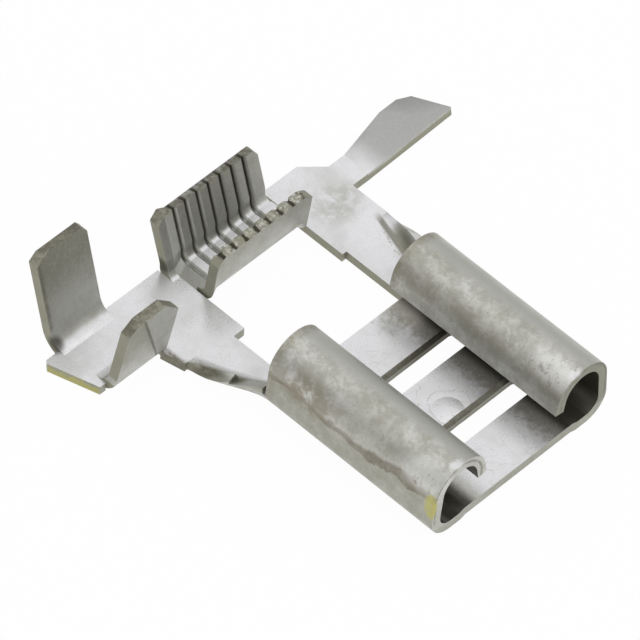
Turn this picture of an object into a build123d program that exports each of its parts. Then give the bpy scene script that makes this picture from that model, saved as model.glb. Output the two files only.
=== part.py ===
from build123d import *
from math import acos, cos, degrees, radians, sin
import os

# Female spade terminal of the flag kind, stamped and folded from one sheet of tinned brass.
# Millimetres. The origin is the middle of the mouth on the floor bars' top face, where the tab lies.
# +X points out of the mouth, +Y from the near rail towards the leaf, +Z up.

# Sheet
stock = 0.35

# Tab that the receptacle takes, and its play at each side
tab_width = 6.35
tab_side_play = 0.225

# Receptacle: two rails rolled over a floor of three bars
rail_length = 6.9
floor_lift = 0.08
crease_radius = 0.13
crease_start = 2.25
foot_radius = 0.49
foot_turn = 94.4
roll_radius = 0.72
roll_turn = 165.2
lip_length = 0.43
tab_gap = 0.98
front_bar = 1.71
middle_bar = 1.81
slot_width = 0.77
slot_half = 2.42
bar_bevel = 0.13

# Dimple in the middle bar
dimple_from_mouth = 2.92
dimple_radius = 0.5
dimple_height = 0.05

# Neck: two strips from the rails back to the trough, and the window between them
neck_start = 9.6
neck_half_far = 4.27
neck_half_near = 4.42
strip_half_near = 4.3
window_far = 2.08
window_near = 2.13
window_step_far = 0.17
window_step_near = 0.45
window_step_at = 9.36

# The strips' outer edges curl up into the rails' feet: shares of the feet's turn at even steps
curl_shares = (0.0, 0.38, 0.615, 0.89, 1.0)
curl_above_foot = 0.18
curl_narrowing = 3
curl_step_start = 8.05
curl_step_low = 0.09
curl_step_high = 0.58
slit_width = 0.12
slit_bottom = 0.25

# Trough floor
trough_back = 12.75
shoulder_start = 3.54
shoulder_end = 4.26
flare_at = 10.45
flare_half = 4.6

# Conductor barrel, pressed up out of the trough; its wings and the grooves across them
conductor_start = -2.42
conductor_end = 2.05
conductor_far_end = 1.72
conductor_near_start = -2.07
conductor_near_end = 1.95
conductor_lift = 0.4
raised_start = -1.9
raised_end = 1.75
conductor_far_tangent = 12.08
conductor_near_tangent = 11.4
conductor_far_radius = 0.25
conductor_wall = 0.03
conductor_flare_radius = 0.5
conductor_flare_turn = 17.5
conductor_far_height = 2.58
conductor_near_radius = 0.3
conductor_near_turn = 84.0
conductor_near_height = 2.28
groove_count = 7
groove_pitch = 0.49
groove_first = -1.79
groove_width = 0.22
groove_depth = 0.1

# Insulation barrel
insulation_far_start = -6.8
insulation_far_end = -4.71
insulation_near_start = -6.65
insulation_near_end = -4.5
insulation_far_tangent = 12.29
insulation_near_tangent = 11.15
insulation_far_radius = 0.65
insulation_far_turn = 75.1
insulation_far_height = 3.53
insulation_near_radius = 0.55
insulation_near_turn = 80.0
insulation_near_height = 3.58

# Corners cut off the four wings: along Y and down, first at the stub's end and then at the leaf's end
conductor_far_corners = (0.42, 0.27, 0.13, 0.16)
conductor_near_corners = (0.35, 0.3, 0.35, 0.2)
insulation_far_corners = (0.4, 0.22, 0.16, 0.19)
insulation_near_corners = (0.35, 0.4, 0.72, 0.8)

# Stub beyond the insulation barrel, cut off at a slant
stub_back = 12.55
stub_front = 10.7
stub_back_end = -7.45
stub_front_end = -6.89
stub_corner = 0.13

# Leaf at the far end, twisted a little out of the floor
leaf_neck_back = 12.09
leaf_front = 11.06
leaf_neck_end = 4.95
leaf_blade_back = 12.53
leaf_blade_start = 6.95
leaf_blade_end = 7.75
leaf_end_back = 8.05
leaf_end_front = 8.63
leaf_corner = 0.2
leaf_twist = 7.0

# Derived levels and places
seat = 0.0
base_top = seat - floor_lift
base_bottom = base_top - stock
base_middle = base_top - stock / 2
rail_half = tab_width / 2 + tab_side_play + stock
foot_middle = foot_radius + stock / 2
foot_arc = foot_middle * radians(foot_turn)
roll_middle = roll_radius + stock / 2
foot_start = rail_half - foot_radius - stock
crease_middle = crease_radius + stock / 2
crease_turn = degrees(acos(1 - floor_lift / (2 * crease_middle)))
crease_run = 2 * crease_middle * sin(radians(crease_turn))
crease_end = crease_start + crease_run
middle_front = front_bar + slot_width
rear_front = middle_front + middle_bar + slot_width
window_far_wide = window_far + window_step_far
window_near_wide = window_near + window_step_near
stub_slope = (stub_front_end - stub_back_end) / (stub_back - stub_front)
clear = 4 * stock


def track(start, heading, moves):
    """Pieces of the lines on the left and right of a folded strip, and the strip's two ends."""
    x, z = start
    half = stock / 2
    left, right = [], []

    def side(px, pz, angle, offset):
        return (px - offset * sin(radians(angle)), pz + offset * cos(radians(angle)))

    first = (side(x, z, heading, half), side(x, z, heading, -half))
    for size, turn in moves:
        if turn == 0:
            nx = x + size * cos(radians(heading))
            nz = z + size * sin(radians(heading))
            left.append((side(x, z, heading, half), side(nx, nz, heading, half)))
            right.append((side(x, z, heading, -half), side(nx, nz, heading, -half)))
            x, z = nx, nz
            continue
        reach = size if turn > 0 else -size
        cx, cz = side(x, z, heading, reach)
        angles = (heading, heading + turn / 2, heading + turn)
        left.append(tuple(side(cx, cz, angle, half - reach) for angle in angles))
        right.append(tuple(side(cx, cz, angle, -half - reach) for angle in angles))
        heading += turn
        x, z = side(cx, cz, heading, -reach)
    last = (side(x, z, heading, half), side(x, z, heading, -half))
    return left, right, first, last


def edges_in(plane, pieces):
    """Lines through two points and arcs through three, in a plane."""
    edges = []
    for piece in pieces:
        spots = [plane.from_local_coords(point) for point in piece]
        edges.append(Edge.make_line(*spots) if len(spots) == 2 else Edge.make_three_point_arc(*spots))
    return edges


def strip_wire(plane, start, heading, moves):
    """Outline of a folded strip one sheet thick; a move is a straight length or a bend radius, and a turn."""
    left, right, first, last = track(start, heading, moves)
    return Wire(edges_in(plane, left + [last] + right[::-1] + [first]))


def along_x(x):
    """Plane across the rails, with Y and Z as its own axes."""
    return Plane(origin=(x, 0, 0), x_dir=(0, 1, 0), z_dir=(1, 0, 0))


def along_y(y):
    """Plane across the barrels, with X and Z as its own axes."""
    return Plane(origin=(0, y, 0), x_dir=(1, 0, 0), z_dir=(0, -1, 0))


def along_z(z):
    """Level plane, with X and Y as its own axes."""
    return Plane(origin=(0, 0, z), x_dir=(1, 0, 0), z_dir=(0, 0, 1))


def prism(points, plane, reach):
    """Prism from an outline in a plane, along a vector."""
    spots = [plane.from_local_coords(point) for point in points]
    return Solid.extrude(Face(Wire.make_polygon(spots, close=True)), Vector(*reach))


# Receptacle: half the floor, the crease, the rail's foot, wall, roll and lip; both halves run to the rear bar
wall_rise = (
    tab_gap
    - base_middle
    - foot_middle * (1 - cos(radians(foot_turn)))
    - roll_middle * (cos(radians(foot_turn)) - cos(radians(foot_turn + roll_turn)))
    - lip_length * sin(radians(foot_turn + roll_turn))
    - stock / 2 * cos(radians(foot_turn + roll_turn))
)
rail_moves = [
    (crease_start, 0),
    (crease_middle, -crease_turn),
    (crease_middle, crease_turn),
    (foot_start - crease_end, 0),
    (foot_middle, foot_turn),
    (wall_rise / sin(radians(foot_turn)), 0),
    (roll_middle, roll_turn),
    (lip_length, 0),
]
half_section = Face(strip_wire(along_x(0), (0, seat - stock / 2), 0, rail_moves))
far_half = Solid.extrude(half_section, Vector(-rail_length, 0, 0))
receptacle = far_half.fuse(far_half.mirror(Plane.XZ)).clean()

# Dimple pressed up into the middle bar
dimple_ball = (dimple_radius ** 2 + dimple_height ** 2) / (2 * dimple_height)
dimple_centre = seat + dimple_height - dimple_ball
dimple_top = Pos(-dimple_from_mouth, 0, dimple_centre) * Sphere(dimple_ball)
dimple_hollow = Pos(-dimple_from_mouth, 0, dimple_centre - stock) * Sphere(dimple_ball)
above_bar = Pos(-dimple_from_mouth, 0, seat) * Cylinder(dimple_ball, stock)
below_bar = Pos(-dimple_from_mouth, 0, seat - stock) * Cylinder(dimple_ball, stock)
receptacle = receptacle + (dimple_top & above_bar) - (dimple_hollow & below_bar)

# Slots between the bars, and bevels along the front of the two bars behind them
for bar_front in (middle_front, rear_front):
    slot = Box(slot_width, 2 * slot_half, 2 * stock)
    receptacle -= Pos(slot_width / 2 - bar_front, 0, seat - stock / 2) * slot
    bevel = [
        (-bar_front - bar_bevel, seat),
        (-bar_front, seat - bar_bevel),
        (-bar_front + bar_bevel, seat - bar_bevel),
        (-bar_front + bar_bevel, seat + bar_bevel),
        (-bar_front - bar_bevel, seat + bar_bevel),
    ]
    receptacle -= prism(bevel, along_y(-crease_start), (0, 2 * crease_start, 0))

# Trough floor with the back halves of the neck strips and the stub
trough = [
    (-neck_start, neck_half_far),
    (-leaf_front, neck_half_far),
    (-leaf_neck_back, shoulder_end),
    (-trough_back, shoulder_start),
    (-trough_back, insulation_far_end),
    (-insulation_far_tangent, insulation_far_end),
    (-insulation_far_tangent, insulation_far_start),
    (-stub_back, insulation_far_start),
    (-stub_back, stub_back_end + stub_corner),
    (-stub_back + stub_corner, stub_back_end + stub_slope * stub_corner),
    (-stub_front, stub_front_end),
    (-stub_front, insulation_near_start),
    (-insulation_near_tangent, insulation_near_start),
    (-insulation_near_tangent, insulation_near_end),
    (-flare_at, insulation_near_end),
    (-flare_at, -flare_half),
    (-neck_start, -neck_half_near),
]
sheet = prism(trough, along_z(base_bottom), (0, 0, stock))


def curled_strip(half_width):
    """Half of the neck between its straight part and the rail, on the +Y side, its edge curling up."""
    wires = []
    for step, share in enumerate(curl_shares):
        place = step / (len(curl_shares) - 1)
        unrolled = half_width + (foot_start + foot_arc + curl_above_foot - half_width) * place ** curl_narrowing
        turn = share * foot_turn
        arc = max(foot_arc * share, stock / 2)
        bend = (foot_middle, turn) if turn > 0 else (arc, 0)
        moves = [(unrolled - arc - curl_above_foot, 0), bend, (curl_above_foot, 0)]
        x = -neck_start + (neck_start - rail_length) * place
        wires.append(strip_wire(along_x(x), (0, base_middle), 0, moves))
    return Solid.make_loft(wires)


far_strip = curled_strip(neck_half_far)
near_strip = curled_strip(strip_half_near).mirror(Plane.XZ)

# Step down in the near strip's curled edge
step_cut = [
    (-curl_step_start, curl_step_low),
    (-rail_length, curl_step_high),
    (-rail_length, curl_step_high + clear),
    (-curl_step_start, curl_step_high + clear),
]
near_strip -= prism(step_cut, along_y(-rail_half - clear), (0, clear + rail_half - foot_start, 0))

# Slits that part the curled edges from the rails' rear ends
for strip_side in (1, -1):
    slit = Box(slit_width, 2 * clear, clear)
    place = Pos(-rail_length - slit_width / 2, strip_side * rail_half, slit_bottom + clear / 2)
    if strip_side > 0:
        far_strip -= place * slit
    else:
        near_strip -= place * slit

# Window through the neck, and the place of the conductor barrel behind it
window = [
    (-rail_length, window_far_wide),
    (-window_step_at, window_far_wide),
    (-window_step_at, window_far),
    (-conductor_near_tangent, window_far),
    (-conductor_near_tangent, conductor_end),
    (-trough_back - clear, conductor_end),
    (-trough_back - clear, conductor_start),
    (-conductor_near_tangent, conductor_start),
    (-conductor_near_tangent, -window_near),
    (-window_step_at, -window_near),
    (-window_step_at, -window_near_wide),
    (-rail_length, -window_near_wide),
]
window_cut = prism(window, along_z(base_bottom - clear), (0, 0, 2 * clear))
sheet = sheet.fuse(far_strip, near_strip) - window_cut

# Conductor barrel: one section lofted along Y, rising from the trough to the raised floor
far_middle = conductor_far_radius + stock / 2
near_middle = conductor_near_radius + stock / 2
flare_middle = conductor_flare_radius + stock / 2
flare_rise = flare_middle * sin(radians(conductor_flare_turn))
near_rise = near_middle * (1 - cos(radians(conductor_near_turn)))


def barrel_lines(lift):
    """Inside and outside lines of the conductor barrel from far tip to near tip, and its two tips."""
    far_left = conductor_far_height - lift - stock / 2 - far_middle - conductor_wall - flare_rise
    near_left = conductor_near_height - lift - stock / 2 - near_rise
    far_moves = [
        (far_middle, -90),
        (conductor_wall, 0),
        (flare_middle, conductor_flare_turn),
        (far_left / cos(radians(conductor_flare_turn)), 0),
    ]
    near_moves = [
        (conductor_far_tangent - conductor_near_tangent, 0),
        (near_middle, conductor_near_turn),
        (near_left / sin(radians(conductor_near_turn)), 0),
    ]
    start = (-conductor_far_tangent, base_middle + lift)
    far_out, far_in, _, far_tip = track(start, 180, far_moves)
    near_in, near_out, _, near_tip = track(start, 0, near_moves)
    inside = [piece[::-1] for piece in far_in[::-1]] + near_in
    outside = [piece[::-1] for piece in near_out[::-1]] + far_out
    return inside, near_tip, outside, far_tip


def barrel_wire(y, lift):
    inside, near_tip, outside, far_tip = barrel_lines(lift)
    return Wire(edges_in(along_y(y), inside + [near_tip] + outside + [far_tip]))


barrel = Solid.make_loft(
    [
        barrel_wire(conductor_start, 0),
        barrel_wire(-window_near, 0),
        barrel_wire(raised_start, conductor_lift),
        barrel_wire(raised_end, conductor_lift),
        barrel_wire(conductor_end, 0),
    ],
    True,
)
barrel_middle = (conductor_far_tangent + conductor_near_tangent) / 2
barrel_tall = conductor_far_height + clear


def beyond(side, start, end):
    """Block that clears one side of the conductor barrel between two Y positions."""
    edge = -conductor_far_tangent if side < 0 else -conductor_near_tangent
    points = [(edge, start), (edge + side * barrel_tall, start), (edge + side * barrel_tall, end), (edge, end)]
    return prism(points, along_z(base_bottom - clear), (0, 0, 2 * barrel_tall))


barrel -= beyond(-1, conductor_far_end, conductor_end + clear)
barrel -= beyond(1, conductor_start - clear, conductor_near_start)
barrel -= beyond(1, conductor_near_end, conductor_end + clear)


def corner_cuts(middle, side, low, high, height, corners):
    """Prisms that cut the two top corners off a wing standing on one side of its barrel's middle."""
    top = base_bottom + height
    cuts = []
    for edge, inward, run, drop in ((low, 1, *corners[:2]), (high, -1, *corners[2:])):
        slope = drop / run
        points = [
            (edge - inward * stock, top - drop - slope * stock),
            (edge + inward * (run + stock), top + slope * stock),
            (edge - inward * stock, top + slope * stock),
        ]
        cuts.append(prism(points, along_x(-middle), (side * (height + stock), 0, 0)))
    return cuts


far_ends = (conductor_start, conductor_far_end, conductor_far_height, conductor_far_corners)
near_ends = (conductor_near_start, conductor_near_end, conductor_near_height, conductor_near_corners)
for cut in corner_cuts(barrel_middle, -1, *far_ends) + corner_cuts(barrel_middle, 1, *near_ends):
    barrel -= cut

# Grooves across the inside of the conductor barrel, from wing tip to wing tip
groove_line = barrel_lines(conductor_lift)[0]


def run_on(piece):
    """A straight piece with its end moved on by one sheet thickness."""
    (x0, z0), (x1, z1) = piece
    share = stock / ((x1 - x0) ** 2 + (z1 - z0) ** 2) ** 0.5
    return (x0, z0), (x1 + (x1 - x0) * share, z1 + (z1 - z0) * share)


groove_line = [run_on(groove_line[0][::-1])[::-1]] + groove_line[1:-1] + [run_on(groove_line[-1])]
groove_path = Wire(edges_in(along_y(groove_first), groove_line))
groove_rise = conductor_far_radius / 2
groove_wide = groove_width / 2 * (1 + groove_rise / groove_depth)
(start_x, start_z), (next_x, next_z) = groove_line[0]
groove_plane = Plane(
    origin=(start_x, groove_first, start_z),
    x_dir=(0, 1, 0),
    z_dir=(next_x - start_x, 0, next_z - start_z),
)
inward = 1 if groove_plane.y_dir.X > 0 else -1
groove_corners = [
    (0, -inward * groove_depth),
    (groove_wide, inward * groove_rise),
    (-groove_wide, inward * groove_rise),
]
groove_spots = [groove_plane.from_local_coords(corner) for corner in groove_corners]
groove = Solid.sweep(Face(Wire.make_polygon(groove_spots, close=True)), groove_path)
for index in range(groove_count):
    barrel -= Pos(0, index * groove_pitch, 0) * groove

# Insulation barrel's wings
sleeve_floor = insulation_far_tangent - insulation_near_tangent
sleeve_middle = (insulation_far_tangent + insulation_near_tangent) / 2


def sleeve_wing(side, radius, turn, low, high, height, corners):
    """Wing of the insulation barrel, bent up from the trough floor."""
    bend = radius + stock / 2
    rise = height - stock / 2 - bend * (1 - cos(radians(turn)))
    moves = [(sleeve_floor / 2, 0), (bend, side * turn), (rise / sin(radians(turn)), 0)]
    heading = 180 if side < 0 else 0
    outline = strip_wire(along_y(low), (-sleeve_middle, base_middle), heading, moves)
    blank = Solid.extrude(Face(outline), Vector(0, high - low, 0))
    for cut in corner_cuts(sleeve_middle, side, low, high, height, corners):
        blank -= cut
    return blank


sleeve_far = sleeve_wing(
    -1,
    insulation_far_radius,
    insulation_far_turn,
    insulation_far_start,
    insulation_far_end,
    insulation_far_height,
    insulation_far_corners,
)
sleeve_near = sleeve_wing(
    1,
    insulation_near_radius,
    insulation_near_turn,
    insulation_near_start,
    insulation_near_end,
    insulation_near_height,
    insulation_near_corners,
)

# Leaf, its section turning out of the floor towards the tip
def leaf_wire(y, back, turn):
    """Section of the leaf across Y; the back edge stays on the floor and the front edge rises."""
    width = back - leaf_front
    run_x, run_z = cos(radians(turn)), sin(radians(turn))
    corners = [
        (-back, base_bottom),
        (-back + width * run_x, base_bottom + width * run_z),
        (-back + width * run_x - stock * run_z, base_bottom + width * run_z + stock * run_x),
        (-back - stock * run_z, base_bottom + stock * run_x),
    ]
    return Wire.make_polygon([along_y(y).from_local_coords(corner) for corner in corners], close=True)


leaf_reach = leaf_end_front + stock
blade_share = (leaf_blade_start - leaf_neck_end) / (leaf_reach - leaf_neck_end)
leaf_stations = [
    leaf_wire(shoulder_end - stock, leaf_neck_back, 0),
    leaf_wire(leaf_neck_end, leaf_neck_back, 0),
    leaf_wire(leaf_blade_start, leaf_blade_back, leaf_twist * blade_share),
    leaf_wire(leaf_reach, leaf_blade_back, leaf_twist),
]
leaf = [Solid.make_loft(list(pair), True) for pair in zip(leaf_stations[:-1], leaf_stations[1:])]
end_slope = (leaf_end_front - leaf_end_back) / (leaf_blade_back - leaf_front)
leaf_end = [
    (-leaf_blade_back - clear, leaf_blade_end - clear * (leaf_end_back - leaf_blade_end) / leaf_corner),
    (-leaf_blade_back, leaf_blade_end),
    (-leaf_blade_back + leaf_corner, leaf_end_back + end_slope * leaf_corner),
    (-leaf_front + clear, leaf_end_front + end_slope * clear),
    (-leaf_front + clear, leaf_reach + clear),
    (-leaf_blade_back - clear, leaf_reach + clear),
]
leaf_cut = prism(leaf_end, along_z(base_bottom - clear), (0, 0, 2 * clear))

# One sheet
flat_end = sheet.fuse(sleeve_far, sleeve_near, *leaf) - leaf_cut
terminal = flat_end.fuse(barrel, receptacle).clean()

os.makedirs("parts", exist_ok=True)
export_step(terminal, "parts/terminal.step")
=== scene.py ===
"""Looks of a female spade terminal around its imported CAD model."""

from math import radians

import bpy
from mathutils import Matrix, Vector


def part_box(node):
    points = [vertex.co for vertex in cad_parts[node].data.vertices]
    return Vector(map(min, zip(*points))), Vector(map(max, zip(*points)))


MM = 0.001

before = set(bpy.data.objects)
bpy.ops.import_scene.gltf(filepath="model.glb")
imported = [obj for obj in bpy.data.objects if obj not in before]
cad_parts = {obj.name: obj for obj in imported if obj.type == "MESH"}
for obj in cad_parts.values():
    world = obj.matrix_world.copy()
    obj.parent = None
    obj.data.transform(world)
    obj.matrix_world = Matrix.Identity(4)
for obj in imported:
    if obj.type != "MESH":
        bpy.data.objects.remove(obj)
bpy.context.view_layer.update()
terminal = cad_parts["terminal"]
floor_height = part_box("terminal")[0].z

# Colours of the tinned sheet, of what lies on it, and of the shade painted on it
BRIGHT_TIN = (0.83, 0.83, 0.85)
# Grey of the leaf: painted shade for the dimmer light its tilt reflects
SHADED_LEAF_TIN = (0.45, 0.45, 0.44)
DULL_TIN = (0.50, 0.50, 0.465)
PALE_TIN = (0.64, 0.64, 0.605)
BLOOM = (0.80, 0.80, 0.77)
PATCH_TIN = (0.35, 0.345, 0.285)
DARK_TIN = (0.26, 0.255, 0.20)
# Stain colour, also used as painted shade on the bars beside the far roll
STAIN_AND_SHADE = (0.29, 0.265, 0.20)
TIDE = (0.20, 0.178, 0.13)
SHEARED = (0.31, 0.305, 0.23)
DARK_TIP = (0.19, 0.18, 0.14)
FRESH_BRASS = (0.50, 0.47, 0.13)
# Painted shade: the deepest in grooves, creases, notches and inside the rolls, a softer one where
# the sheet shelters itself
DEEP_SHADE = (0.045, 0.04, 0.026)
SHELTER_SHADE = (0.065, 0.052, 0.016)

# Places in millimetres: the rolls and their rims, the grooves, a kink, the dimple, a tide mark
ROLL_Y, ROLL_Z = 2.68, 1.0
RIM_Z, RIM_REACH = 1.26, 0.97
FIRST_GROOVE, GROOVE_PITCH = -1.79, 0.49
KINK_Y, KINK_Z, KINK_SLOPE = -5.6, 1.9, 0.385
DIMPLE = (-2.95, 0.12, 0.0)
TIDE_LOW, TIDE_HIGH = 1.08, 1.16

# Lines on the neck's two strips, from one x to another and from one y to another
FAR_FOLD = (-9.69, -8.13, 3.95, 3.48)
FAR_PITS = (-9.16, -8.28, 3.66, 3.33)
NEAR_FOLD = (-9.8, -7.9, -4.25, -3.4)
NEAR_EDGE = (-9.6, -7.22, -4.5, -3.55)

# Round patches in millimetres: their centres and how far they reach along each axis
PALE_PATCHES = (((-0.7, -3.3, 1.75), (1.3, 0.8, 0.7)), ((-0.7, 2.1, 2.1), (1.3, 0.8, 0.6)))
BROWN_PATCH = ((-5.4, -3.5, 1.5), (1.6, 1.0, 0.9))
# A painted pool of light on the neck's near strip
LIT_NECK_PATCH = ((-10.0, -2.8, -0.08), (0.9, 1.1, 0.4))
SMOKY_PATCH = ((-10.9, 3.4, -0.08), (1.0, 1.3, 0.4))
# Painted highlights on the two crests by the mouths
CREST_HIGHLIGHTS = (((-0.1, -2.77, 2.32), (0.22, 0.36, 0.25)), ((-0.1, 2.29, 2.3), (0.22, 0.36, 0.25)))
# Feet of the far wings, darkened with painted shade
SHADED_FEET = (((-12.7, -6.8, 0.05), (0.4, 0.4, 0.4)), ((-12.6, -2.35, 0.3), (0.42, 0.42, 0.4)))
# Painted shade in the far strip's curl
CURL_SHADE = ((-8.5, 3.6, 0.0), (0.9, 0.6, 0.5))
# Painted shade on the rear bar beside the far roll
BAR_SHADE_PATCH = ((-6.45, 1.5, 0.0), (0.7, 1.1, 0.3))
SCRAPE = ((-0.12, -3.78, 1.15), (0.46, 0.3, 0.85))


class Graph:
    """Short names for the nodes of one material or world."""

    def __init__(self, owner):
        owner.use_nodes = True
        self.tree = owner.node_tree
        self.tree.nodes.clear()

    def node(self, kind, inputs=None, **settings):
        made = self.tree.nodes.new(kind)
        for name, value in settings.items():
            setattr(made, name, value)
        for name, value in (inputs or {}).items():
            self.put(made.inputs[name], value)
        return made

    def put(self, socket, value):
        if isinstance(value, bpy.types.NodeSocket):
            self.tree.links.new(value, socket)
        else:
            socket.default_value = value

    def math(self, operation, *values):
        made = self.node("ShaderNodeMath", dict(enumerate(values)), operation=operation)
        return made.outputs[0]

    def plus(self, a, b):
        return self.math("ADD", a, b)

    def minus(self, a, b):
        return self.math("SUBTRACT", a, b)

    def times(self, *values):
        result = values[0]
        for value in values[1:]:
            result = self.math("MULTIPLY", result, value)
        return result

    def most(self, a, b):
        return self.math("MAXIMUM", a, b)

    def size_of(self, value):
        return self.math("ABSOLUTE", value)

    def rest_of(self, value):
        return self.minus(1.0, value)

    def line(self, value, low, high, start=0.0, end=1.0, kind="LINEAR"):
        """A straight ramp from start to end as value goes from low to high."""
        made = self.node(
            "ShaderNodeMapRange",
            {"Value": value, "From Min": low, "From Max": high, "To Min": start, "To Max": end},
            interpolation_type=kind,
        )
        return made.outputs["Result"]

    def step(self, value, low, high, start=0.0, end=1.0):
        """A smooth step from start to end as value goes from low to high."""
        return self.line(value, low, high, start, end, "SMOOTHSTEP")

    def weigh(self, factor, a, b):
        """The number a where factor is 0 and b where it is 1."""
        return self.line(factor, 0, 1, a, b)

    def band(self, value, outer, inner):
        """1 where value is within inner of zero and 0 where it is outer or more away."""
        return self.step(self.size_of(value), outer, inner)

    def mix(self, factor, a, b):
        """Colour a where factor is 0 and b where it is 1."""
        made = self.node("ShaderNodeMix", data_type="RGBA")
        self.put(made.inputs["Factor"], factor)
        for socket, value in zip([s for s in made.inputs if s.type == "RGBA"], (a, b)):
            self.put(socket, (*value, 1.0) if isinstance(value, tuple) else value)
        return [s for s in made.outputs if s.type == "RGBA"][0]

    def paint(self, tone, colour, *covers):
        """The tone with a colour over it, as opaque as the product of the covers."""
        return self.mix(self.times(*covers), tone, colour)

    def vector(self, operation, *values):
        """Vector arithmetic, which gives a number for lengths, distances and products."""
        made = self.node("ShaderNodeVectorMath", dict(enumerate(values)), operation=operation)
        gives_number = operation in ("LENGTH", "DISTANCE", "DOT_PRODUCT")
        return made.outputs["Value" if gives_number else "Vector"]

    def parts_of(self, vector):
        return self.node("ShaderNodeSeparateXYZ", {"Vector": vector}).outputs

    def noise(self, point, scale, detail, roughness, stretch=(1, 1, 1), offset=(0, 0, 0)):
        """Noise from 0 to 1 whose period is about one over scale, in millimetres."""
        placed = self.node(
            "ShaderNodeMapping", {"Vector": point, "Scale": stretch, "Location": offset}
        )
        made = self.node(
            "ShaderNodeTexNoise",
            {"Vector": placed.outputs[0], "Scale": scale, "Detail": detail, "Roughness": roughness},
        )
        return made.outputs["Fac"]

    def spot(self, point, patch):
        """1 around a patch's centre and 0 beyond its reach along each axis."""
        centre, reach = patch
        scaled = self.vector("DIVIDE", self.vector("SUBTRACT", point, centre), reach)
        return self.step(self.vector("LENGTH", scaled), 0.35, 1.0, 1.0, 0.0)


class Places:
    """Where the parts of the terminal are, as masks from 0 to 1 over points in millimetres."""

    def __init__(self, g):
        coordinates = g.node("ShaderNodeTexCoord").outputs
        in_mm = {0: coordinates["Object"], "Scale": 1 / MM}
        self.point = g.node("ShaderNodeVectorMath", in_mm, operation="SCALE").outputs[0]
        self.x, self.y, self.z = x, y, z = g.parts_of(self.point)
        nx, ny, nz = g.parts_of(coordinates["Normal"])
        self.ny, self.nz = ny, nz
        self.side_x = side_x = g.size_of(nx)
        side_y = g.size_of(ny)
        wide_y = g.size_of(y)

        # The mouth's bars and rails, the rails' front faces and the slots' chamfers
        self.front = front = g.step(x, -7.0, -6.85)
        self.flats = g.times(g.step(nz, 0.72, 0.96), g.step(z, 0.45, 0.7, 1.0, 0.0))
        self.rails = g.times(front, g.most(g.step(wide_y, 2.6, 2.9), g.step(z, 0.08, 0.2)))
        self.mouths = g.times(g.step(x, -0.12, -0.05), g.step(nx, 0.9, 0.97))
        slanted = g.times(front, g.step(nz, 0.97, 0.92), g.step(nz, 0.4, 0.5))
        self.chamfers = g.times(slanted, g.step(z, 0.02, 0.0), g.step(side_x, 0.3, 0.4))

        # The rolls' inner faces, which look at the middle of their roll
        self.to_roll_y = g.minus(g.times(g.math("SIGN", y), ROLL_Y), y)
        to_roll_z = g.minus(ROLL_Z, z)
        inward = g.plus(g.times(ny, self.to_roll_y), g.times(nz, to_roll_z))
        rolled = g.times(front, g.step(inward, 0.1, 0.3), g.step(wide_y, 1.75, 2.15))
        self.inside = g.times(rolled, g.rest_of(self.mouths))

        # The barrels with their wings, the wings' outer faces, edges and tips, and the grooves
        near_foot = g.times(g.step(x, -9.55, -9.8), g.step(z, 0.25, 0.45))
        self.barrels = barrels = g.most(g.step(x, -10.9, -11.3), near_foot)
        self.near_outside = near_outside = g.times(g.step(x, -12.3, -12.1), g.step(nx, 0.5, 0.8))
        far_outside = g.times(g.step(x, -12.3, -12.5), g.step(nx, -0.5, -0.8))
        self.outer = g.most(g.most(near_outside, far_outside), g.step(nz, -0.2, -0.5))
        high = g.most(g.step(z, 0.7, 2.6), g.times(near_outside, g.step(z, 0.3, 1.9)))
        self.wings = g.times(barrels, high, g.step(side_x, 0.5, 0.9))
        self.wing_edges = g.times(barrels, g.step(z, 0.45, 0.7), g.step(side_x, 0.4, 0.25))
        self.conductor = g.times(barrels, g.step(y, -2.6, -2.3), g.step(y, 2.3, 2.0))
        self.tips = g.times(barrels, g.step(z, 1.6, 1.9), g.step(nz, 0.3, 0.6))
        self.near_tip = g.times(self.tips, self.conductor, g.step(x, -12.3, -12.1))
        off_groove = g.minus(y, FIRST_GROOVE)
        self.off_groove = g.math("WRAP", off_groove, GROOVE_PITCH / 2, -GROOVE_PITCH / 2)

        # Sheared edges that face along Y and along X
        strips = g.times(g.step(x, -7.8, -8.3), g.step(z, 0.12, 0.02))
        bare_y = g.most(strips, g.most(g.step(wide_y, 2.75, 2.6), barrels))
        off_rails = g.times(g.step(side_y, 0.9, 0.97), g.rest_of(self.rails))
        self.sheared_y = g.times(off_rails, bare_y)
        self.sheared_x = g.times(g.step(side_x, 0.9, 0.97), g.step(z, 0.03, -0.05))


class Grain:
    """Patina, stains and grain at their own sizes, each from 0 to 1."""

    def __init__(self, g, point):
        self.clouds = g.noise(point, 0.45, 3.0, 0.6)
        self.mottle = g.noise(point, 1.6, 7.0, 0.77, offset=(3, 5, 1))
        self.speckle = g.noise(point, 5.0, 5.0, 0.75, offset=(7, 2, 4))
        self.grit = g.noise(point, 9.0, 4.0, 0.7, offset=(1, 6, 3))
        self.fine = g.noise(point, 30.0, 2.0, 0.5)
        self.drawn = g.noise(point, 6.0, 3.0, 0.6, stretch=(0.12, 1, 1), offset=(2, 9, 5))
        self.marks = g.noise(point, 1.3, 2.0, 0.45, offset=(11, 4, 0))
        self.waves = g.noise(point, 0.55, 4.0, 0.6, offset=(5, 1, 8))


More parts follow.
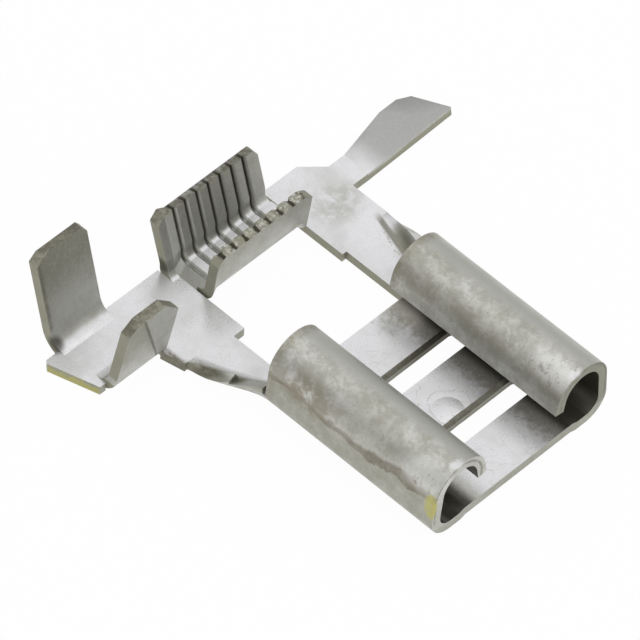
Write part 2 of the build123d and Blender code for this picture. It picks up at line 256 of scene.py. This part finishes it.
def rail_patina(g, at, grain):
    """Bloom and warm patches on the rails' near sides, and a duller, more even far side."""
    near_side = g.step(at.ny, 0.25, -0.1)
    worn = g.weigh(near_side, 0.5, 1.0)
    tone = g.paint(PALE_TIN, PATCH_TIN, g.step(grain.mottle, 0.42, 0.58), worn, 0.7)
    tone = g.paint(tone, PATCH_TIN, g.step(grain.speckle, 0.52, 0.66), worn, 0.65)
    between = g.step(grain.mottle, 0.62, 0.4)
    tone = g.paint(tone, BLOOM, g.step(grain.grit, 0.56, 0.68), worn, between, 0.6)
    tone = g.paint(tone, PATCH_TIN, g.step(grain.grit, 0.46, 0.34), worn, 0.4)
    tone = g.paint(tone, DULL_TIN, g.weigh(near_side, 0.85, 0.35))
    tone = g.paint(tone, STAIN_AND_SHADE, g.step(grain.clouds, 0.44, 0.64), near_side, 0.3)

    # The near rail's wall, darker below a ragged tide mark that widens toward the mouth
    low_wall = g.times(g.step(at.ny, -0.6, -0.85), g.step(at.y, -3.4, -3.6))
    ragged = g.plus(at.z, g.line(grain.waves, 0.3, 0.7, -0.3, 0.3))
    band_top = g.line(at.x, -6.5, -0.5, 1.3, 1.6)
    below_top = g.step(g.minus(ragged, band_top), 0.12, -0.12)
    tide = g.times(low_wall, g.step(ragged, TIDE_LOW, TIDE_HIGH), below_top)
    tone = g.paint(tone, TIDE, tide, g.line(grain.mottle, 0.35, 0.65, 0.65, 0.95))
    below = g.times(low_wall, g.step(ragged, TIDE_HIGH, TIDE_LOW))
    tone = g.paint(tone, PATCH_TIN, below, g.line(grain.mottle, 0.3, 0.7, 0.5, 0.85))

    # The far rail's inner wall, the rails' rear rims, a brown patch and two pale ones
    inner_wall = g.times(g.step(at.ny, -0.35, -0.9), g.step(at.y, 1.5, 1.7))
    tone = g.paint(tone, STAIN_AND_SHADE, inner_wall, g.step(grain.mottle, 0.30, 0.52, 0.4, 1.0), 0.5)
    rear_rim = g.step(at.x, -6.45, -6.8)
    tone = g.paint(tone, STAIN_AND_SHADE, rear_rim, g.line(grain.speckle, 0.35, 0.6, 0.3, 1.0), 0.75)
    brown = g.spot(at.point, BROWN_PATCH)
    tone = g.paint(tone, STAIN_AND_SHADE, brown, g.step(grain.mottle, 0.32, 0.52), 0.8)
    for patch in PALE_PATCHES:
        pale = g.spot(at.point, patch)
        tone = g.paint(tone, BLOOM, pale, g.step(grain.speckle, 0.35, 0.5), 0.6)
    return tone


def flat_tin(g, at, grain):
    """Bright tin with faint clouds and marks where the sheet is flat, dull tin elsewhere."""
    flats, front = at.flats, at.front
    # Flat faces get bright tin and the rest dull tin: partly a duller finish on rolls and bends,
    # partly painted shade on the steep sides
    tone = g.mix(flats, DULL_TIN, BRIGHT_TIN)
    tone = g.paint(
        tone, DULL_TIN, g.step(grain.clouds, 0.45, 0.68), flats, g.weigh(front, 0.35, 0.1)
    )
    tone = g.paint(tone, PATCH_TIN, g.step(grain.mottle, 0.45, 0.62), g.weigh(flats, 0.4, 0.08))
    grainy = g.minus(0.3, g.times(flats, g.weigh(front, 0.25, 0.2)))
    tone = g.paint(tone, PATCH_TIN, g.step(grain.speckle, 0.60, 0.72), grainy)
    outlines = g.times(g.band(g.minus(grain.marks, 0.5), 0.014, 0.002), flats)
    broken = g.step(grain.speckle, 0.42, 0.55)
    tone = g.paint(tone, PATCH_TIN, outlines, broken, g.weigh(front, 0.12, 0.4))

    # Painted shade on the grey leaf, a painted pool of light and a smoky patch on the neck, and
    # painted shade at the bars' ends by the rolls
    tone = g.paint(tone, SHADED_LEAF_TIN, g.step(at.y, 4.8, 6.0), flats)
    tone = g.paint(tone, BRIGHT_TIN, g.spot(at.point, LIT_NECK_PATCH), flats, 0.9)
    smoky = g.times(g.spot(at.point, SMOKY_PATCH), g.step(grain.mottle, 0.36, 0.54), flats)
    tone = g.paint(tone, PATCH_TIN, smoky, 0.45)
    # Painted shade on the front bar's end by the near mouth
    shade_by_near_mouth = g.times(flats, g.step(at.x, -1.3, -1.1), g.step(at.y, -1.2, -2.0))
    tone = g.paint(tone, PATCH_TIN, shade_by_near_mouth, g.line(grain.speckle, 0.3, 0.6, 0.6, 0.9))
    # Painted shade on the bars beside the far roll, in the stain colour
    toward_roll = g.plus(at.y, g.line(grain.speckle, 0.3, 0.7, -0.3, 0.3))
    return g.paint(tone, STAIN_AND_SHADE, flats, front, g.step(toward_roll, 1.0, 1.75), 0.75)


def barrel_wings(g, at, grain, tone):
    """Wings darkened with painted shade on their steep faces, with pale grit; the near insulation
    wing's outside has less of that shade past a kink, and a painted shade line along it.
    """
    past_kink = g.plus(g.minus(at.y, KINK_Y), g.times(g.minus(at.z, KINK_Z), KINK_SLOPE))
    near_wing = g.times(at.near_outside, g.step(at.y, -4.0, -4.3))
    less_shade_past_kink = g.times(near_wing, g.step(past_kink, -0.02, 0.12))
    darker = g.times(at.wings, g.weigh(at.conductor, 0.82, 0.52), g.weigh(less_shade_past_kink, 1.0, 0.15))
    # Painted shade on the wings' steep faces
    tone = g.paint(tone, DARK_TIN, darker)
    # A painted shade line along the kink's crease
    tone = g.paint(tone, DEEP_SHADE, near_wing, g.band(past_kink, 0.07, 0.02), 0.6)
    tone = g.paint(tone, PALE_TIN, at.barrels, g.step(grain.grit, 0.5, 0.62), 0.16)
    far_wings = g.times(at.barrels, g.step(at.x, -12.3, -12.5), g.step(at.z, 0.3, 0.7))
    border = g.times(far_wings, g.step(at.side_x, 0.3, 0.8), g.step(at.y, -6.6, -6.72))
    return g.paint(tone, DARK_TIP, border, g.line(grain.speckle, 0.35, 0.6, 0.3, 0.8))


def cut_edges(g, at, grain, tone):
    """Olive sheared edges, dark wing tips, dark chamfers round the slots and painted shade in the
    rear slot toward the far roll.
    """
    tone = g.paint(tone, SHEARED, g.most(at.sheared_y, at.wing_edges), 0.9)
    dark_tips = g.times(at.tips, g.line(grain.speckle, 0.4, 0.58, 0.1, 1.0))
    tone = g.paint(tone, DARK_TIP, dark_tips, g.weigh(at.near_tip, 1.0, 0.5))
    tone = g.paint(tone, BLOOM, at.near_tip, g.step(grain.grit, 0.47, 0.64), 0.6)
    tone = g.paint(tone, SHEARED, at.sheared_x, g.step(at.y, 4.2, 4.6, 0.45, 0.9))
    tone = g.paint(tone, DARK_TIP, at.chamfers, g.line(grain.speckle, 0.35, 0.6, 0.7, 1.0))
    # Painted shade on the rear slot's chamfers and edges toward the far roll
    rear_slot_shade = g.times(g.most(at.chamfers, at.sheared_x), at.front, g.step(at.x, -4.5, -4.8))
    return g.paint(tone, DEEP_SHADE, rear_slot_shade, g.step(at.y, -0.4, 1.6), 0.7)


def mouth_faces(g, at, grain, tone):
    """The rails' front faces, with a dark line round each rim and a painted highlight on each
    crest.
    """
    far_mouth = g.times(at.mouths, g.step(at.y, 0.0, 1.0), g.step(at.z, 0.0, 0.1))
    tone = g.paint(tone, DARK_TIN, far_mouth, g.line(grain.speckle, 0.35, 0.6, 0.8, 1.0))
    near_mouth = g.times(at.mouths, g.step(at.y, -1.0, -2.0))
    tone = g.paint(tone, DULL_TIN, near_mouth, g.line(grain.speckle, 0.35, 0.6, 0.1, 0.5))
    over_rim = g.most(g.minus(at.z, RIM_Z), 0.0)
    squares = g.plus(g.times(at.to_roll_y, at.to_roll_y), g.times(over_rim, over_rim))
    off_rim = g.minus(g.math("SQRT", squares), RIM_REACH)
    rim = g.times(at.mouths, g.step(at.z, 0.2, 0.5), g.band(off_rim, 0.06, 0.02))
    tone = g.paint(tone, DARK_TIP, rim, g.step(grain.grit, 0.38, 0.5), 0.8)
    for crest in CREST_HIGHLIGHTS:
        # A painted highlight on this crest
        bright = g.spot(at.point, crest)
        tone = g.paint(tone, BRIGHT_TIN, bright, g.step(grain.speckle, 0.35, 0.5), 0.7)
    return tone


def grooves_and_feet(g, at, grain, tone):
    """Painted shade in the grooves, at the feet of the far wings and in the near tip's notches."""
    groove = g.times(g.band(at.off_groove, 0.085, 0.02), at.conductor, g.step(at.z, 0.2, 0.3))
    ends = g.times(g.step(at.y, -2.0, -1.9), g.step(at.y, 1.35, 1.25))
    inner = g.times(groove, ends, g.rest_of(at.outer))
    tone = g.paint(tone, DEEP_SHADE, inner, g.step(at.z, 0.5, 2.4, 0.85, 1.0))
    for foot in SHADED_FEET:
        tone = g.paint(tone, DEEP_SHADE, g.spot(at.point, foot), 0.8)
    notches = g.times(at.near_tip, g.band(at.off_groove, 0.14, 0.04))
    return g.paint(tone, DEEP_SHADE, notches, g.step(grain.speckle, 0.46, 0.56))


def neck_shade_and_stains(g, at, grain, tone):
    """Painted shade along the fold and in the curl, sheared faces, pits and a dark edge line on the
    two strips that run from the neck to the rails.
    """
    x, y, z = at.x, at.y, at.z
    off_fold = g.minus(y, g.line(x, *FAR_FOLD))
    along_fold = g.times(g.step(x, -9.9, -9.4), g.step(x, -7.0, -7.9), g.step(z, 0.35, 0.2))
    # Painted shade along the far strip's fold
    tone = g.paint(tone, DARK_TIP, g.band(off_fold, 0.15, 0.05), along_fold, 0.85)
    # Painted shade in the far strip's curl
    curl = g.times(g.spot(at.point, CURL_SHADE), g.step(at.ny, -0.1, -0.3))
    tone = g.paint(tone, DARK_TIN, curl, 0.95)

    past_fold = g.minus(g.line(x, *NEAR_FOLD), y)
    near_strip = g.times(g.step(x, -9.9, -9.6), g.step(x, -6.95, -7.05), g.step(y, -3.0, -3.3))
    turned_down = g.times(g.step(past_fold, 0.0, 0.16), near_strip, g.step(at.nz, -0.3, 0.0))
    tone = g.paint(tone, SHEARED, turned_down, g.line(grain.mottle, 0.35, 0.65, 0.4, 0.6))

    off_pits = g.minus(y, g.line(x, *FAR_PITS))
    along_pits = g.times(g.step(x, -9.4, -9.1), g.step(x, -7.6, -8.0), at.flats)
    pits = g.times(g.band(off_pits, 0.07, 0.03), along_pits, g.step(grain.speckle, 0.5, 0.56))
    tone = g.paint(tone, STAIN_AND_SHADE, pits, 0.6)
    off_edge = g.minus(y, g.line(x, *NEAR_EDGE))
    along_edge = g.times(g.step(x, -10.6, -10.3), g.step(x, -7.1, -7.5), g.step(z, 0.3, 0.15))
    near_edge_line = g.times(g.band(off_edge, 0.22, 0.05), along_edge)
    return g.paint(tone, DARK_TIP, near_edge_line, g.line(grain.speckle, 0.35, 0.55, 0.45, 1.0))


def bar_ring_and_shade(g, at, grain, tone):
    """A broken ring round the dimple and painted shade on the rear bar beside the far roll."""
    reach = g.line(grain.marks, 0.3, 0.7, 0.55, 0.75)
    off_ring = g.minus(g.vector("DISTANCE", at.point, DIMPLE), reach)
    ring = g.times(g.band(off_ring, 0.03, 0.008), at.flats, g.step(grain.speckle, 0.4, 0.5))
    tone = g.paint(tone, STAIN_AND_SHADE, ring, 0.3)
    rear_bar_shade = g.spot(at.point, BAR_SHADE_PATCH)
    return g.paint(tone, DARK_TIN, rear_bar_shade, g.line(grain.speckle, 0.3, 0.6, 0.35, 1.0), 0.6)


def sheltered_shade(g, at, grain, tone):
    """Painted shade where the sheet shelters itself, and inside the rolls."""
    shelter = g.node("ShaderNodeAmbientOcclusion", {"Distance": 1.2 * MM}, samples=12)
    sheltered = g.step(shelter.outputs["AO"], 0.14, 0.54, 1.0, 0.0)
    tone = g.paint(tone, SHELTER_SHADE, sheltered, g.weigh(at.front, 0.12, 0.97))
    return g.paint(tone, DEEP_SHADE, at.inside, 0.88)


def fresh_brass(g, at, grain, tone):
    """Bare brass at the cut stub and in a scrape on the near rail."""
    cut_stub = g.times(g.step(at.y, -6.8, -6.95), g.step(at.ny, -0.8, -0.93))
    ragged = g.plus(at.z, g.line(grain.speckle, 0.3, 0.7, -0.18, 0.18))
    tone = g.paint(tone, FRESH_BRASS, cut_stub, g.step(ragged, -0.12, -0.3), 0.65)
    frayed = g.plus(g.spot(at.point, SCRAPE), g.line(grain.speckle, 0.3, 0.7, -0.3, 0.3))
    scrape = g.step(frayed, 0.4, 0.6)
    return g.paint(tone, FRESH_BRASS, scrape, g.line(grain.speckle, 0.35, 0.65, 1.0, 0.35))


def tin_plate():
    """Tin plate, bright where flat, dull and mottled where rolled, olive on sheared edges."""
    material = bpy.data.materials.new("tin_plate")
    g = Graph(material)
    at = Places(g)
    grain = Grain(g, at.point)

    tone = g.mix(at.rails, flat_tin(g, at, grain), rail_patina(g, at, grain))
    for layer in (
        barrel_wings,
        cut_edges,
        mouth_faces,
        grooves_and_feet,
        neck_shade_and_stains,
        bar_ring_and_shade,
        sheltered_shade,
        fresh_brass,
    ):
        tone = layer(g, at, grain, tone)

    rough = g.plus(g.weigh(at.flats, 0.46, 0.27), g.line(grain.mottle, 0.3, 0.7, -0.05, 0.08))
    rough = g.plus(rough, g.times(g.most(at.sheared_y, at.sheared_x), 0.12))
    metal = g.minus(0.8, g.times(at.flats, 0.25))

    height = g.plus(g.times(grain.mottle, 0.35), g.times(grain.speckle, 0.3))
    height = g.plus(height, g.times(grain.fine, 0.02))
    height = g.plus(height, g.times(grain.drawn, 0.2))
    strength = g.weigh(at.flats, 0.65, 0.02)
    bump = g.node(
        "ShaderNodeBump", {"Height": height, "Strength": strength, "Distance": 0.02 * MM}
    )
    shader = g.node(
        "ShaderNodeBsdfPrincipled",
        {"Base Color": tone, "Roughness": rough, "Normal": bump.outputs[0], "Metallic": metal},
    )
    g.node("ShaderNodeOutputMaterial", {"Surface": shader.outputs[0]})
    return material


def round_edges(piece, width):
    """Rubbed edges, a few hundredths of a millimetre wide."""
    weld = piece.modifiers.new("weld", "WELD")
    weld.merge_threshold = 0.001 * MM
    bevel = piece.modifiers.new("edges", "BEVEL")
    bevel.width = width
    bevel.segments = 2
    bevel.limit_method = "ANGLE"
    bevel.angle_limit = radians(35)
    bevel.miter_outer = "MITER_SHARP"
    normals = piece.modifiers.new("normals", "WEIGHTED_NORMAL")
    normals.keep_sharp = True
    normals.weight = 80


def shown(graph):
    """1 for rays from the camera, mirror-like reflections and seen-through things."""
    path = graph.node("ShaderNodeLightPath").outputs
    mirrored = graph.most(path["Is Glossy Ray"], path["Is Transmission Ray"])
    return graph.most(path["Is Camera Ray"], mirrored)


def floor_paper():
    """Pale paper that stays white where it is seen and still takes the object's shadow."""
    material = bpy.data.materials.new("floor_paper")
    g = Graph(material)
    paper = g.node("ShaderNodeBsdfDiffuse", {"Color": (0.88, 0.88, 0.88, 1)})
    white = g.node("ShaderNodeEmission", {"Color": (1, 1, 1, 1), "Strength": 1.0})
    share = g.times(shown(g), 0.97)
    surface = g.node("ShaderNodeMixShader", {0: share, 1: paper.outputs[0], 2: white.outputs[0]})
    g.node("ShaderNodeOutputMaterial", {"Surface": surface.outputs[0]})
    return material


def add_floor():
    """A wide sheet of paper, a hair below the terminal's underside."""
    half, hair = 1.2, 0.005 * MM
    height = floor_height - hair
    corners = [(-half, -half), (half, -half), (half, half), (-half, half)]
    mesh = bpy.data.meshes.new("floor")
    mesh.from_pydata([(a, b, height) for a, b in corners], [], [(0, 1, 2, 3)])
    floor = bpy.data.objects.new("floor", mesh)
    bpy.context.scene.collection.objects.link(floor)
    floor.data.materials.append(floor_paper())


def add_light(name, direction, distance, size, power):
    """A square soft light that faces the object."""
    light = bpy.data.lights.new(name, "AREA")
    light.shape = "SQUARE"
    light.size = size
    light.energy = power
    lamp = bpy.data.objects.new(name, light)
    bpy.context.scene.collection.objects.link(lamp)
    target = Vector((-7 * MM, 0, 0))
    lamp.location = target + Vector(direction).normalized() * distance
    lamp.rotation_euler = (target - lamp.location).to_track_quat("-Z", "Y").to_euler()


def add_world():
    """A white studio that is brightest above the mouth."""
    world = bpy.data.worlds.new("studio")
    bpy.context.scene.world = world
    g = Graph(world)
    direction = g.node("ShaderNodeTexCoord").outputs["Generated"]
    toward = g.vector("DOT_PRODUCT", direction, (0.5, 0.0, 0.866))
    strength = g.step(toward, -0.1, 0.62, 0.45, 1.0)
    back = g.node("ShaderNodeBackground", {"Color": (1, 1, 1, 1), "Strength": strength})
    g.node("ShaderNodeOutputWorld", {"Surface": back.outputs[0]})


def add_camera():
    """Long lens at the photograph's angle, found from the rails, bars and trough floor."""
    camera = bpy.data.cameras.new("camera")
    camera.sensor_width = 36.0
    camera.lens = 536.41
    camera.clip_start = 0.01
    holder = bpy.data.objects.new("camera", camera)
    bpy.context.scene.collection.objects.link(holder)
    place = Vector((112.219, -137.860, 220.368)) * MM
    right = Vector((0.712988, 0.699547, 0.047775))
    ahead = Vector((-0.419926, 0.480572, -0.769878))
    up = right.cross(ahead)
    turn = Matrix((right, up, -ahead)).transposed()
    holder.matrix_world = Matrix.Translation(place) @ turn.to_4x4()
    bpy.context.scene.camera = holder


terminal.data.materials.clear()
terminal.data.materials.append(tin_plate())
round_edges(terminal, 0.03 * MM)
add_floor()
add_world()
add_light("key", (-0.35, -0.1, 0.93), distance=0.35, size=0.25, power=0.06)
add_light("fill", (0.8, 0.35, 0.5), distance=0.5, size=0.5, power=0.015)
add_camera()
bpy.context.scene.view_settings.view_transform = "Standard"
